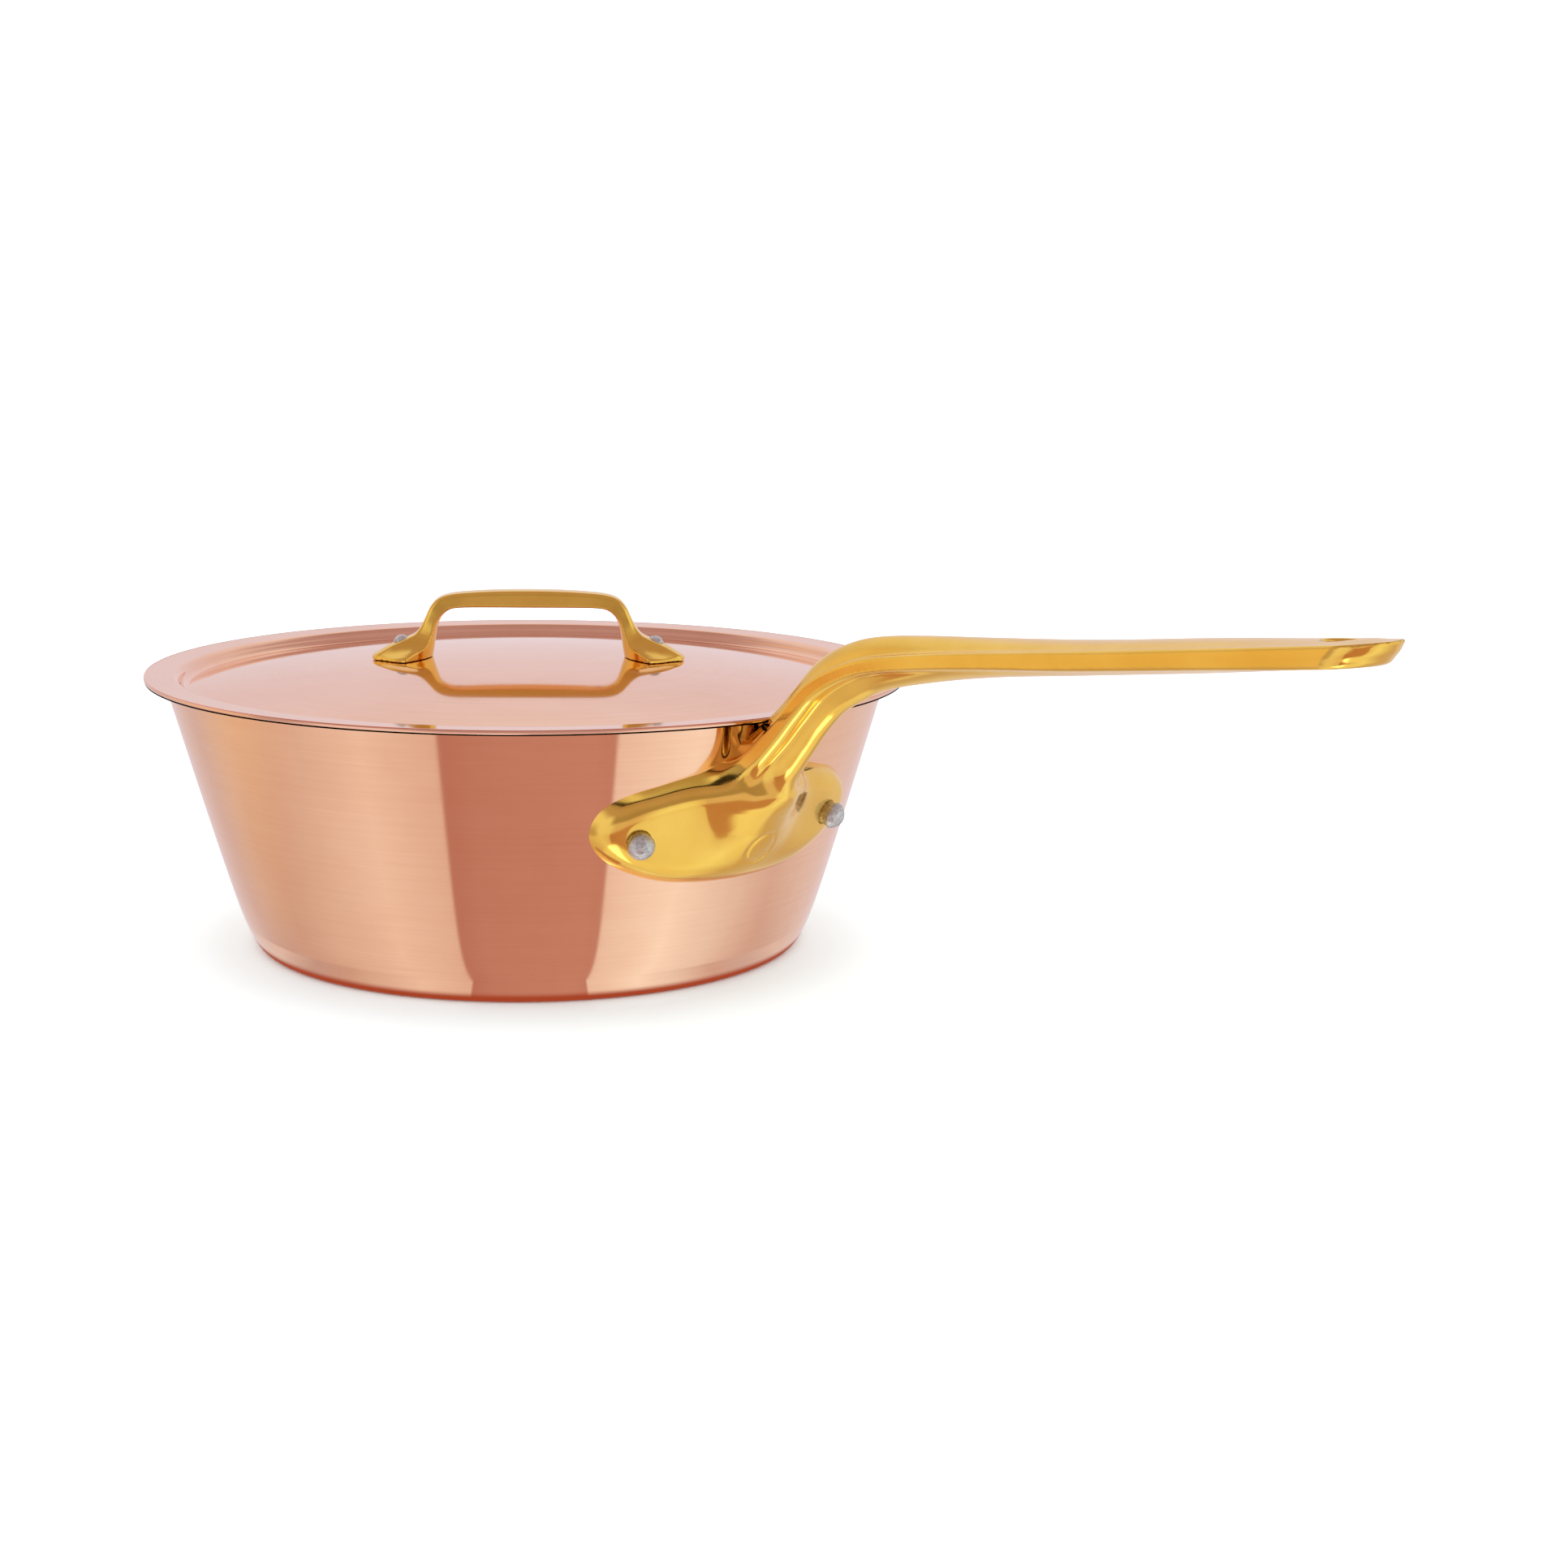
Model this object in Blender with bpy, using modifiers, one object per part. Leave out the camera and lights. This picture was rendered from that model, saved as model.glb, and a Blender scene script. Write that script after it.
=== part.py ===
"""Copper saucepan with a cast bronze handle and a riveted bail on its lid.

Metres, +Z up. The origin is the centre of the base, on the surface the pan stands on.
The long handle runs along +X. Every piece is one closed solid in its own object.
"""
import math

import bmesh
import bpy
from mathutils import Matrix, Vector

MM = 0.001
GAP = 0.3 * MM                      # left between pieces that touch
SEGMENTS = 60                       # steps round every pan and lid surface

# ---- pan ----
CONE_RADIUS = 78.7 * MM             # radius at which the straight wall would meet the table
FLARE = 0.2847                      # outward run of the wall for each unit of height
BASE_RADIUS = 74.2 * MM             # flat of the base
CORNER_TOP = 57.8 * MM              # height at which the base corner has run out into the wall
CORNER_WEIGHT = 2.09                # tightness of the corner's conic
COPPER = 1.6 * MM                   # copper of the wall and base
LINING = 0.4 * MM                   # steel lining

# ---- lid ----
LID_RADIUS = 105.5 * MM
LID_TOP = 76.1 * MM                 # top of the lid's flat edge
LID_COPPER = 0.8 * MM
LID_LINING = 0.3 * MM
LID_FLAT_INNER = 98.0 * MM          # inner end of the flat edge
SHOULDER_RADIUS = 2.4 * MM          # of both bends of the pressed step
SHOULDER_TURN = math.radians(72)
DOME_RISE = 4.1 * MM                # centre of the lid above its edge
DOME_STEPS = 4                      # facets from the lid's centre to the foot of the step
BAIL_TURN = math.radians(54.1)      # how far the lid, and its bail, is turned from the handle

RIM_HEIGHT = LID_TOP - LID_COPPER - GAP - LID_LINING - GAP

# ---- pan handle ----
FLANGE_THICKNESS = 5.0 * MM
SEAT_LOW = 20 * MM                  # stretch of wall that the flange's seat is cut from
SEAT_HIGH = 72 * MM
FLANGE_BLOCK_X = 85 * MM            # middle and half-length of the block the flange is cut from
FLANGE_BLOCK_REACH = 30 * MM
GRIP_END = 291.0 * MM
GRIP_HALF_WIDTH = 9.4 * MM
HANG_HOLE_X = 278.0 * MM
HANG_HOLE_RADIUS = 4.0 * MM

# ---- rivets ----
HANDLE_RIVET_ANGLE = math.radians(19.4)
HANDLE_RIVET_HEIGHT = 46.4 * MM     # where the rivet's axis leaves the wall
LID_RIVET_REACH = 35.3 * MM         # from the lid's centre
BORE_CLEARANCE = 0.3 * MM


# ------------------------------------------------------------------ helpers

def clear_scene():
    for item in list(bpy.data.objects):
        bpy.data.objects.remove(item, do_unlink=True)


def new_collection(name):
    collection = bpy.data.collections.new(name)
    bpy.context.scene.collection.children.link(collection)
    return collection


def new_material(name, colour, roughness, metallic=1.0):
    material = bpy.data.materials.new(name)
    material.use_nodes = True
    shader = material.node_tree.nodes["Principled BSDF"]
    shader.inputs["Base Color"].default_value = (*colour, 1.0)
    shader.inputs["Roughness"].default_value = roughness
    shader.inputs["Metallic"].default_value = metallic
    material.diffuse_color = (*colour, 1.0)
    return material


def add_object(name, mesh, collection, material=None):
    item = bpy.data.objects.new(name, mesh)
    collection.objects.link(item)
    if material:
        mesh.materials.append(material)
    return item


def mark_as_cutter(item):
    item.hide_render = True
    item.display_type = "WIRE"
    return item


def shade_round(mesh, angle_degrees=35):
    mesh.shade_smooth()
    mesh.set_sharp_from_angle(angle=math.radians(angle_degrees))


def turned(name, profile, collection, material=None, segments=SEGMENTS):
    """A solid of revolution about Z from (radius, height) points.

    The points run down the outer side of the solid, starting and ending on the axis.
    """
    mesh = bpy.data.meshes.new(name)
    points = [(radius, 0.0, height) for radius, height in profile]
    mesh.from_pydata(points, [(i, i + 1) for i in range(len(points) - 1)], [])
    item = add_object(name, mesh, collection, material)
    screw = item.modifiers.new("turn", "SCREW")
    screw.axis = "Z"
    screw.angle = math.tau
    screw.steps = segments
    screw.render_steps = segments
    screw.use_merge_vertices = True
    screw.merge_threshold = 0.00001
    screw.use_smooth_shade = True
    return item


def boolean(target, operation, cutter):
    change = target.modifiers.new(operation.lower() + "_" + cutter.name, "BOOLEAN")
    change.operation = operation
    change.solver = "EXACT"
    change.object = cutter
    return change


def bake_modifiers(item):
    """Put the evaluated mesh in place of the object's own mesh and its modifiers."""
    bpy.context.view_layer.update()
    evaluated = item.evaluated_get(bpy.context.evaluated_depsgraph_get())
    mesh = bpy.data.meshes.new_from_object(evaluated)
    item.modifiers.clear()
    item.data = mesh
    return item


def loft(name, rings, collection, material=None, capped=(True, True)):
    """Skin rings of equal length; each ring runs the same way round, first ring to last."""
    mesh = bpy.data.meshes.new(name)
    builder = bmesh.new()
    rows = [[builder.verts.new(point) for point in ring] for ring in rings]
    count = len(rows[0])
    for near, far in zip(rows, rows[1:]):
        for i in range(count):
            j = (i + 1) % count
            builder.faces.new((near[i], near[j], far[j], far[i]))
    if capped[0]:
        builder.faces.new(list(reversed(rows[0])))
    if capped[1]:
        builder.faces.new(rows[-1])
    bmesh.ops.recalc_face_normals(builder, faces=builder.faces)
    builder.to_mesh(mesh)
    builder.free()
    return add_object(name, mesh, collection, material)


# ------------------------------------------------------------------ profiles

def wall_radius(height):
    """Outer radius of the straight part of the wall."""
    return CONE_RADIUS + FLARE * height


def pan_outline(top, corner_steps=8):
    """Outer surface of the pan from the rim down to the centre of the base."""
    start = Vector((BASE_RADIUS, 0.0))
    pull = Vector((CONE_RADIUS, 0.0))
    end = Vector((wall_radius(CORNER_TOP), CORNER_TOP))
    corner = []
    for step in range(corner_steps + 1):
        t = step / corner_steps
        weights = ((1 - t) ** 2, 2 * CORNER_WEIGHT * t * (1 - t), t ** 2)
        point = start * weights[0] + pull * weights[1] + end * weights[2]
        corner.append(point / sum(weights))
    corner.reverse()
    return [Vector((wall_radius(top), top))] + corner + [Vector((0.0, 0.0))]


def arc(centre, radius, start, end, steps):
    points = []
    for step in range(steps + 1):
        angle = start + (end - start) * step / steps
        points.append(Vector((centre[0] + radius * math.cos(angle), centre[1] + radius * math.sin(angle))))
    return points


def lid_outline(dome_steps=DOME_STEPS, bend_steps=3):
    """Top surface of the lid from its centre out to its edge."""
    turn = SHOULDER_TURN
    quarter = math.pi / 2
    shoulder_centre = (LID_FLAT_INNER, LID_TOP - SHOULDER_RADIUS)
    foot_radius = LID_FLAT_INNER - 2 * SHOULDER_RADIUS * math.sin(turn)
    foot_height = LID_TOP - 2 * SHOULDER_RADIUS * (1 - math.cos(turn))
    foot_centre = (foot_radius, foot_height + SHOULDER_RADIUS)
    dome_curve = (LID_TOP + DOME_RISE - foot_height) / foot_radius ** 2
    points = []
    for step in range(dome_steps):
        radius = foot_radius * step / dome_steps
        points.append(Vector((radius, LID_TOP + DOME_RISE - dome_curve * radius ** 2)))
    points += arc(foot_centre, SHOULDER_RADIUS, -quarter, -quarter + turn, bend_steps)
    points += arc(shoulder_centre, SHOULDER_RADIUS, quarter + turn, quarter, bend_steps)[1:]
    points.append(Vector((LID_RADIUS, LID_TOP)))
    return points


def inset(points, distance):
    """Move an open outline sideways, to the right of its direction of travel."""
    moved = []
    for i, point in enumerate(points):
        before = points[max(i - 1, 0)]
        after = points[min(i + 1, len(points) - 1)]
        incoming = (point - before).normalized() if i else (after - point).normalized()
        outgoing = (after - point).normalized() if i < len(points) - 1 else incoming
        middle = (incoming + outgoing).normalized()
        sideways = Vector((middle.y, -middle.x))
        stretch = 1 / max(middle.dot(incoming), 0.5)
        moved.append(point + sideways * distance * stretch)
    return moved


def square_end(points, index, height):
    """Slide an outline's end along its last stretch until it is at the given height."""
    end = points[index]
    inner = points[1] if index == 0 else points[-2]
    share = (height - inner.y) / (end.y - inner.y)
    points[index] = inner + (end - inner) * share
    return points


def on_axis(points, index):
    points[index] = Vector((0.0, points[index].y))
    return points


def pan_shell(depth_outer, depth_inner):
    """Closed profile of a pan layer between two depths below the outer surface."""
    outline = pan_outline(RIM_HEIGHT)
    outer = on_axis(square_end(inset(outline, depth_outer), 0, RIM_HEIGHT), -1)
    inner = on_axis(square_end(inset(outline, depth_inner), 0, RIM_HEIGHT), -1)
    return list(reversed(inner)) + outer


def lid_shell(depth_top, depth_bottom, edge_inset):
    """Closed profile of a lid layer between two depths below the top surface."""
    outline = lid_outline()
    outline[-1] = outline[-1] - Vector((edge_inset, 0.0))
    top = on_axis(inset(outline, depth_top), 0)
    bottom = on_axis(inset(outline, depth_bottom), 0)
    return top + list(reversed(bottom))


def rivet_profile(head_radius, head_rise, shank_radius, shank_length, inner_radius, inner_rise):
    """Rivet on +Z: domed outer head above zero, shank below it, flat domed inner head."""
    rim = head_rise * 0.35
    profile = [Vector((0.0, head_rise))]
    for share in (0.5, 0.85):
        profile.append(Vector((head_radius * share, rim + (head_rise - rim) * math.sqrt(1 - share ** 2))))
    profile.append(Vector((head_radius, rim)))
    profile.append(Vector((head_radius, 0.0)))
    profile.append(Vector((shank_radius, 0.0)))
    profile.append(Vector((shank_radius, -shank_length)))
    profile.append(Vector((inner_radius, -shank_length)))
    profile.append(Vector((inner_radius * 0.8, -shank_length - inner_rise * 0.7)))
    profile.append(Vector((0.0, -shank_length - inner_rise)))
    return profile


# ------------------------------------------------------------------ placing on the pan and lid

def wall_frame(angle, height):
    """Matrix whose +Z leaves the wall squarely at this angle and height."""
    normal = Vector((math.cos(angle), math.sin(angle), -FLARE)).normalized()
    radius = wall_radius(height)
    place = Vector((radius * math.cos(angle), radius * math.sin(angle), height))
    return Matrix.Translation(place) @ normal.to_track_quat("Z", "Y").to_matrix().to_4x4()


def lid_frame(side):
    """Matrix whose +Z leaves the lid's top surface squarely under one foot of the bail."""
    outline = lid_outline()
    centre, foot = outline[0], outline[DOME_STEPS]
    dome_curve = (centre.y - foot.y) / foot.x ** 2
    height = centre.y - dome_curve * LID_RIVET_REACH ** 2
    slope = 2 * dome_curve * LID_RIVET_REACH
    tilt = Matrix.Rotation(math.atan(slope) * side, 4, "Y")
    move = Matrix.Translation((side * LID_RIVET_REACH, 0.0, height))
    return Matrix.Rotation(BAIL_TURN, 4, "Z") @ move @ tilt


def bore_cutter(name, frame, radius, reach_in, reach_out, cutters):
    bpy.ops.mesh.primitive_cylinder_add(vertices=16, radius=radius, depth=reach_in + reach_out)
    item = bpy.context.object
    item.name = name
    for collection in list(item.users_collection):
        collection.objects.unlink(item)
    cutters.objects.link(item)
    item.matrix_world = frame @ Matrix.Translation((0.0, 0.0, (reach_out - reach_in) / 2))
    return mark_as_cutter(item)


# ------------------------------------------------------------------ pan handle

# Stations of the handle from the flange to the tip, in millimetres:
# top line (x, z), bottom line (x, z), half-width of the top, depth of its sides, half-width of the rib.
HANDLE_STATIONS = (
    (93.6, 48.0, 98.6, 42.0, 8.5, 1.6, 6.5),
    (96.9, 60.0, 103.6, 51.5, 8.6, 3.0, 6.0),
    (100.6, 65.0, 109.0, 57.0, 8.4, 3.6, 5.4),
    (105.6, 69.6, 114.0, 61.8, 8.2, 4.0, 4.6),
    (110.8, 74.6, 118.8, 67.2, 8.0, 4.2, 4.2),
    (116.4, 81.0, 124.0, 74.2, 7.9, 4.2, 4.0),
    (124.4, 88.0, 130.0, 80.0, 7.8, 4.2, 4.0),
    (133.7, 92.7, 137.2, 84.4, 7.8, 4.2, 4.0),
    (143.5, 96.1, 145.9, 87.9, 7.9, 4.1, 4.2),
    (160.0, 99.0, 161.3, 91.9, 8.2, 4.0, 4.8),
    (181.0, 101.8, 181.8, 95.7, 8.5, 3.9, 5.5),
    (211.0, 105.3, 211.7, 99.8, 8.9, 3.8, 6.6),
    (247.0, 110.1, 247.7, 104.7, 9.3, 4.0, 8.0),
)
TIP_BOTTOM_BACK = 3.6 * MM          # the tip's underside ends this much short of its top
TIP_SLOPE = 0.135                   # rise of the grip for each unit of length


def handle_ring(top, bottom, half_width, side_depth, rib_half_width):
    """T-shaped ring: a flat top with upright sides, and a narrower rib under it."""
    down = (bottom - top).normalized()
    depth = (bottom - top).length
    corner = 1.0 * MM
    half = [
        (half_width - corner, 0.0),
        (half_width, corner),
        (half_width, side_depth),
        (rib_half_width, min(side_depth + corner, depth - 2 * corner)),
        (rib_half_width, depth - corner),
        (rib_half_width - corner, depth),
    ]
    ring = [top + down * drop + Vector((0.0, side, 0.0)) for side, drop in half]
    ring += [top + down * drop - Vector((0.0, side, 0.0)) for side, drop in reversed(half)]
    return ring


def tip_rings():
    """The grip's last stretch: a plain slab, round in plan, with an undercut end."""
    rings = []
    centre_x = GRIP_END - GRIP_HALF_WIDTH
    end_top = 116.0 * MM
    thickness = 5.0 * MM
    for degrees in (0, 35, 62, 84):
        angle = math.radians(degrees)
        top_x = centre_x + GRIP_HALF_WIDTH * math.sin(angle)
        share = math.sin(angle)
        top = Vector((top_x, 0.0, end_top - (GRIP_END - top_x) * TIP_SLOPE))
        bottom_x = top_x + thickness * TIP_SLOPE - TIP_BOTTOM_BACK * share
        bottom = Vector((bottom_x, 0.0, top.z - thickness))
        half_width = max(GRIP_HALF_WIDTH * math.cos(angle), 1.4 * MM)
        rings.append(handle_ring(top, bottom, half_width, 3.0 * MM, half_width - 0.2 * MM))
    return rings


def flange_outline():
    """Edge of the flange seen along the handle: (across, up), one lobe on each side."""
    half = (
        (0.0, 31.4), (10.0, 31.8), (20.0, 33.0), (28.0, 35.6), (34.0, 38.4), (38.5, 41.8),
        (41.0, 45.6), (41.6, 49.0), (40.8, 52.6), (38.0, 55.6), (33.0, 57.8), (26.0, 59.6),
        (18.0, 61.6), (11.0, 63.0), (0.0, 64.4),
    )
    right = [(across * MM, up * MM) for across, up in half]
    left = [(-across, up) for across, up in reversed(right[1:-1])]
    return right + left


def flange_block(cutters):
    """The flange's outline drawn out along X as a plain block."""
    curve = bpy.data.curves.new("flange_outline", "CURVE")
    curve.dimensions = "2D"
    curve.fill_mode = "BOTH"
    curve.extrude = FLANGE_BLOCK_REACH
    spline = curve.splines.new("POLY")
    outline = flange_outline()
    spline.points.add(len(outline) - 1)
    for point, (across, up) in zip(spline.points, outline):
        point.co = (across, up, 0.0, 1.0)
    spline.use_cyclic_u = True
    drawn = bpy.data.objects.new("flange_outline", curve)
    cutters.objects.link(drawn)
    drawn.matrix_world = Matrix(((0, 0, 1, FLANGE_BLOCK_X), (1, 0, 0, 0), (0, 1, 0, 0), (0, 0, 0, 1)))
    bpy.context.view_layer.update()
    evaluated = drawn.evaluated_get(bpy.context.evaluated_depsgraph_get())
    mesh = bpy.data.meshes.new_from_object(evaluated)
    builder = bmesh.new()
    builder.from_mesh(mesh)
    bmesh.ops.remove_doubles(builder, verts=builder.verts, dist=0.00001)
    bmesh.ops.recalc_face_normals(builder, faces=builder.faces)
    builder.to_mesh(mesh)
    builder.free()
    block = add_object("flange_block", mesh, cutters)
    block.matrix_world = drawn.matrix_world
    bpy.data.objects.remove(drawn, do_unlink=True)
    return mark_as_cutter(block)


def off_wall(distance):
    """Top and bottom of a line that runs down beside the wall, this far outside it."""
    wall = [Vector((wall_radius(height), height)) for height in (SEAT_HIGH, SEAT_LOW)]
    return inset(wall, -distance)


def flange_band(cutters):
    """Ring lying on the pan wall, as thick as the flange."""
    inner = off_wall(GAP)
    outer = off_wall(GAP + FLANGE_THICKNESS)
    profile = [inner[0], outer[0], outer[1], inner[1], inner[0]]
    return mark_as_cutter(turned("flange_band", profile, cutters))


def wall_clearance(cutters):
    """The space inside the flange's seat, taken out of the handle."""
    seat = off_wall(GAP)
    profile = [Vector((0.0, seat[0].y)), seat[0], seat[1], Vector((0.0, seat[1].y))]
    return mark_as_cutter(turned("wall_clearance", profile, cutters))


def make_pan_handle(parts, cutters, material, bores):
    rings = []
    for station in HANDLE_STATIONS:
        top_x, top_z, bottom_x, bottom_z, half_width, side_depth, rib = (value * MM for value in station)
        rings.append(handle_ring(Vector((top_x, 0.0, top_z)), Vector((bottom_x, 0.0, bottom_z)),
                                 half_width, side_depth, rib))
    rings += tip_rings()
    handle = loft("pan_handle", rings, parts, material)
    flange = flange_block(cutters)
    boolean(flange, "INTERSECT", flange_band(cutters))
    boolean(handle, "UNION", flange)
    boolean(handle, "DIFFERENCE", wall_clearance(cutters))
    hole_frame = Matrix.Translation((HANG_HOLE_X, 0.0, 112 * MM))
    hang_hole = bore_cutter("hang_hole", hole_frame, HANG_HOLE_RADIUS, 20 * MM, 20 * MM, cutters)
    for cutter in [hang_hole] + bores:
        boolean(handle, "DIFFERENCE", cutter)
    bake_modifiers(handle)
    shade_round(handle.data)
    return handle


# ------------------------------------------------------------------ lid handle

# Half of the bail from the middle of the bar to the toe of the foot, in millimetres above the lid's edge:
# outer line (x, z), inner line (x, z), half-width along the outer line, half-width along the inner line.
BAIL_STATIONS = (
    (0.0, 22.3, 0.0, 17.6, 2.8, 4.0),
    (12.0, 22.1, 12.0, 17.6, 2.8, 4.0),
    (20.0, 21.5, 19.2, 17.4, 2.8, 4.0),
    (24.6, 20.6, 21.8, 16.8, 2.8, 4.0),
    (27.0, 18.4, 23.8, 15.3, 2.8, 4.1),
    (28.4, 15.4, 25.1, 13.2, 2.8, 4.3),
    (29.8, 12.4, 25.8, 10.2, 3.0, 4.8),
    (32.4, 9.6, 26.3, 6.2, 3.6, 6.4),
    (35.6, 7.9, 27.2, 1.2, 4.4, 7.5),
    (37.6, 6.9, 33.5, 1.2, 4.4, 12.0),
    (40.4, 5.0, 38.5, 1.2, 2.4, 8.4),
    (42.4, 3.4, 42.2, 1.2, 0.6, 1.0),
)


def bail_ring(outer, inner, outer_half_width, inner_half_width):
    middle = outer.lerp(inner, 0.45)
    widest = max(outer_half_width, inner_half_width) * 0.96
    half = [
        outer + Vector((0.0, outer_half_width, 0.0)),
        middle + Vector((0.0, widest, 0.0)),
        inner + Vector((0.0, inner_half_width, 0.0)),
    ]
    return half + [Vector((point.x, -point.y, point.z)) for point in reversed(half)]


def make_lid_handle(parts, cutters, material, bores):
    rings = []
    for station in BAIL_STATIONS:
        outer_x, outer_z, inner_x, inner_z, outer_half, inner_half = (value * MM for value in station)
        rings.append(bail_ring(Vector((outer_x, 0.0, outer_z + LID_TOP)),
                               Vector((inner_x, 0.0, inner_z + LID_TOP)), outer_half, inner_half))
    handle = loft("lid_handle", rings, parts, material, capped=(False, True))
    handle.rotation_euler = (0.0, 0.0, BAIL_TURN)
    mirror = handle.modifiers.new("other_half", "MIRROR")
    mirror.use_axis = (True, False, False)
    mirror.merge_threshold = 0.00005
    below = [Vector((point.x, point.y + GAP)) for point in lid_outline()]
    profile = below + [Vector((LID_RADIUS, 60 * MM)), Vector((0.0, 60 * MM))]
    seat = mark_as_cutter(turned("lid_clearance", profile, cutters))
    for cutter in [seat] + bores:
        boolean(handle, "DIFFERENCE", cutter)
    bake_modifiers(handle)
    shade_round(handle.data)
    return handle


# ------------------------------------------------------------------ rivets

HANDLE_SHANK = 3.2 * MM
LID_SHANK = 1.6 * MM
HANDLE_HEAD_SEAT = GAP + FLANGE_THICKNESS + 0.5 * MM      # head underside above the wall
LID_HEAD_RADIUS = 2.4 * MM
LID_HEAD_SEAT = 4.4 * MM                                  # head underside above the lid


def make_rivet(name, frame, seat, profile, parts, material):
    item = turned(name, profile, parts, material, segments=16)
    item.matrix_world = frame @ Matrix.Translation((0.0, 0.0, seat))
    return item


def main():
    clear_scene()
    parts = new_collection("copper_saucepan")
    cutters = new_collection("cutters")
    copper = new_material("copper", (0.86, 0.47, 0.34), 0.16)
    lid_copper = new_material("lid_copper", (0.88, 0.50, 0.38), 0.14)
    bronze = new_material("bronze", (0.83, 0.58, 0.20), 0.18)
    steel = new_material("lining_steel", (0.66, 0.66, 0.65), 0.28)
    rivet_steel = new_material("rivet_steel", (0.52, 0.53, 0.53), 0.45)

    pan_depth = COPPER + GAP + LINING
    lid_depth = LID_COPPER + GAP + LID_LINING
    sides = {"left": 1, "right": -1}
    handle_frames = {side: wall_frame(sign * HANDLE_RIVET_ANGLE, HANDLE_RIVET_HEIGHT)
                     for side, sign in sides.items()}
    lid_frames = {side: lid_frame(sign) for side, sign in sides.items()}
    handle_bores = [bore_cutter("handle_bore_" + side, frame, HANDLE_SHANK + BORE_CLEARANCE,
                                10 * MM, 14 * MM, cutters) for side, frame in handle_frames.items()]
    lid_bores = [bore_cutter("lid_bore_" + side, frame, LID_SHANK + BORE_CLEARANCE,
                             8 * MM, 14 * MM, cutters) for side, frame in lid_frames.items()]

    body = turned("pan_body", pan_shell(0.0, COPPER), parts, copper)
    lining = turned("pan_lining", pan_shell(COPPER + GAP, pan_depth), parts, steel)
    for shell in (body, lining):
        for cutter in handle_bores:
            boolean(shell, "DIFFERENCE", cutter)
    make_pan_handle(parts, cutters, bronze, handle_bores)

    plate = turned("lid_plate", lid_shell(0.0, LID_COPPER, 0.0), parts, lid_copper)
    under = turned("lid_lining", lid_shell(LID_COPPER + GAP, lid_depth, 0.4 * MM), parts, steel)
    for shell in (plate, under):
        for cutter in lid_bores:
            boolean(shell, "DIFFERENCE", cutter)
    spot_faces = [bore_cutter("lid_spot_face_" + side, frame, LID_HEAD_RADIUS + 2 * BORE_CLEARANCE,
                              GAP - LID_HEAD_SEAT, 14 * MM, cutters) for side, frame in lid_frames.items()]
    make_lid_handle(parts, cutters, bronze, lid_bores + spot_faces)

    handle_rivet = rivet_profile(3.6 * MM, 2.9 * MM, HANDLE_SHANK,
                                 HANDLE_HEAD_SEAT + pan_depth + GAP, 4.4 * MM, 1.5 * MM)
    lid_rivet = rivet_profile(LID_HEAD_RADIUS, 1.8 * MM, LID_SHANK,
                              LID_HEAD_SEAT + lid_depth + GAP, 2.6 * MM, 1.0 * MM)
    for side in sides:
        make_rivet("handle_rivet_" + side, handle_frames[side], HANDLE_HEAD_SEAT, handle_rivet,
                   parts, rivet_steel)
        make_rivet("lid_rivet_" + side, lid_frames[side], LID_HEAD_SEAT, lid_rivet, parts, rivet_steel)


main()
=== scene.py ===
"""Looks of the copper saucepan: polished copper, cast bronze handles, hammered steel rivets.

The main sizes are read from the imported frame. The shapes are worked out in millimetres and
turned to metres when a mesh is made. The pan and the lid are turned profiles. The two castings
are smooth blended fields, negative inside, meshed by the small mesher below.
"""
import math

import bmesh
import bpy
import numpy as np
from mathutils import Matrix, Vector, noise


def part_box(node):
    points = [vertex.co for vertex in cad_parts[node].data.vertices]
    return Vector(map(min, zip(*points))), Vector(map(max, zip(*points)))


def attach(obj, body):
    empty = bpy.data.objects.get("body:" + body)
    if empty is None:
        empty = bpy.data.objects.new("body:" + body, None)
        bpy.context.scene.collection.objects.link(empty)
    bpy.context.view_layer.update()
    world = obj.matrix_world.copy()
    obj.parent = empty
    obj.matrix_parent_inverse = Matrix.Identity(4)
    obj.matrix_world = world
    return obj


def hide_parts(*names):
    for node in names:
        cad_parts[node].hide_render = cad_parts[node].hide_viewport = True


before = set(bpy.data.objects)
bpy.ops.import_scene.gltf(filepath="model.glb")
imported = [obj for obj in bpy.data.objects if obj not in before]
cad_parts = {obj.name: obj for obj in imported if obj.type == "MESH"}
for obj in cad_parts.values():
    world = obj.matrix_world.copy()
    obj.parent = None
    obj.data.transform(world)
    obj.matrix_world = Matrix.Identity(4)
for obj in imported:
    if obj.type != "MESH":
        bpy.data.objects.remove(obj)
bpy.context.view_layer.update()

MM = 0.001
GRIP_STEP = 0.55                              # mesh spacing of the long handle, mm
BAIL_STEP = 0.35                              # mesh spacing of the lid's bail, mm
CHUNK = 600                                   # points measured against a line at one time
TURNED_SEGMENTS = 240                         # steps round the pan and the lid
RIVET_SEGMENTS = 48
SHARP_ANGLE = math.radians(40)                # turned edges sharper than this aren't smoothed
QUARTER = math.pi / 2

# ------------------------------------------------------------------ sizes read from the frame

pan_high, lid_high, grip_high = (Vector(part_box(node)[1]) for node in ("pan_body", "lid_plate", "pan_handle"))

RIM_RADIUS = pan_high.x / MM                  # outer radius of the pan's rim, mm
RIM_HEIGHT = pan_high.z / MM
LID_RADIUS = lid_high.x / MM
DOME_TOP = lid_high.z / MM
GRIP_END = grip_high.x / MM

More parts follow.
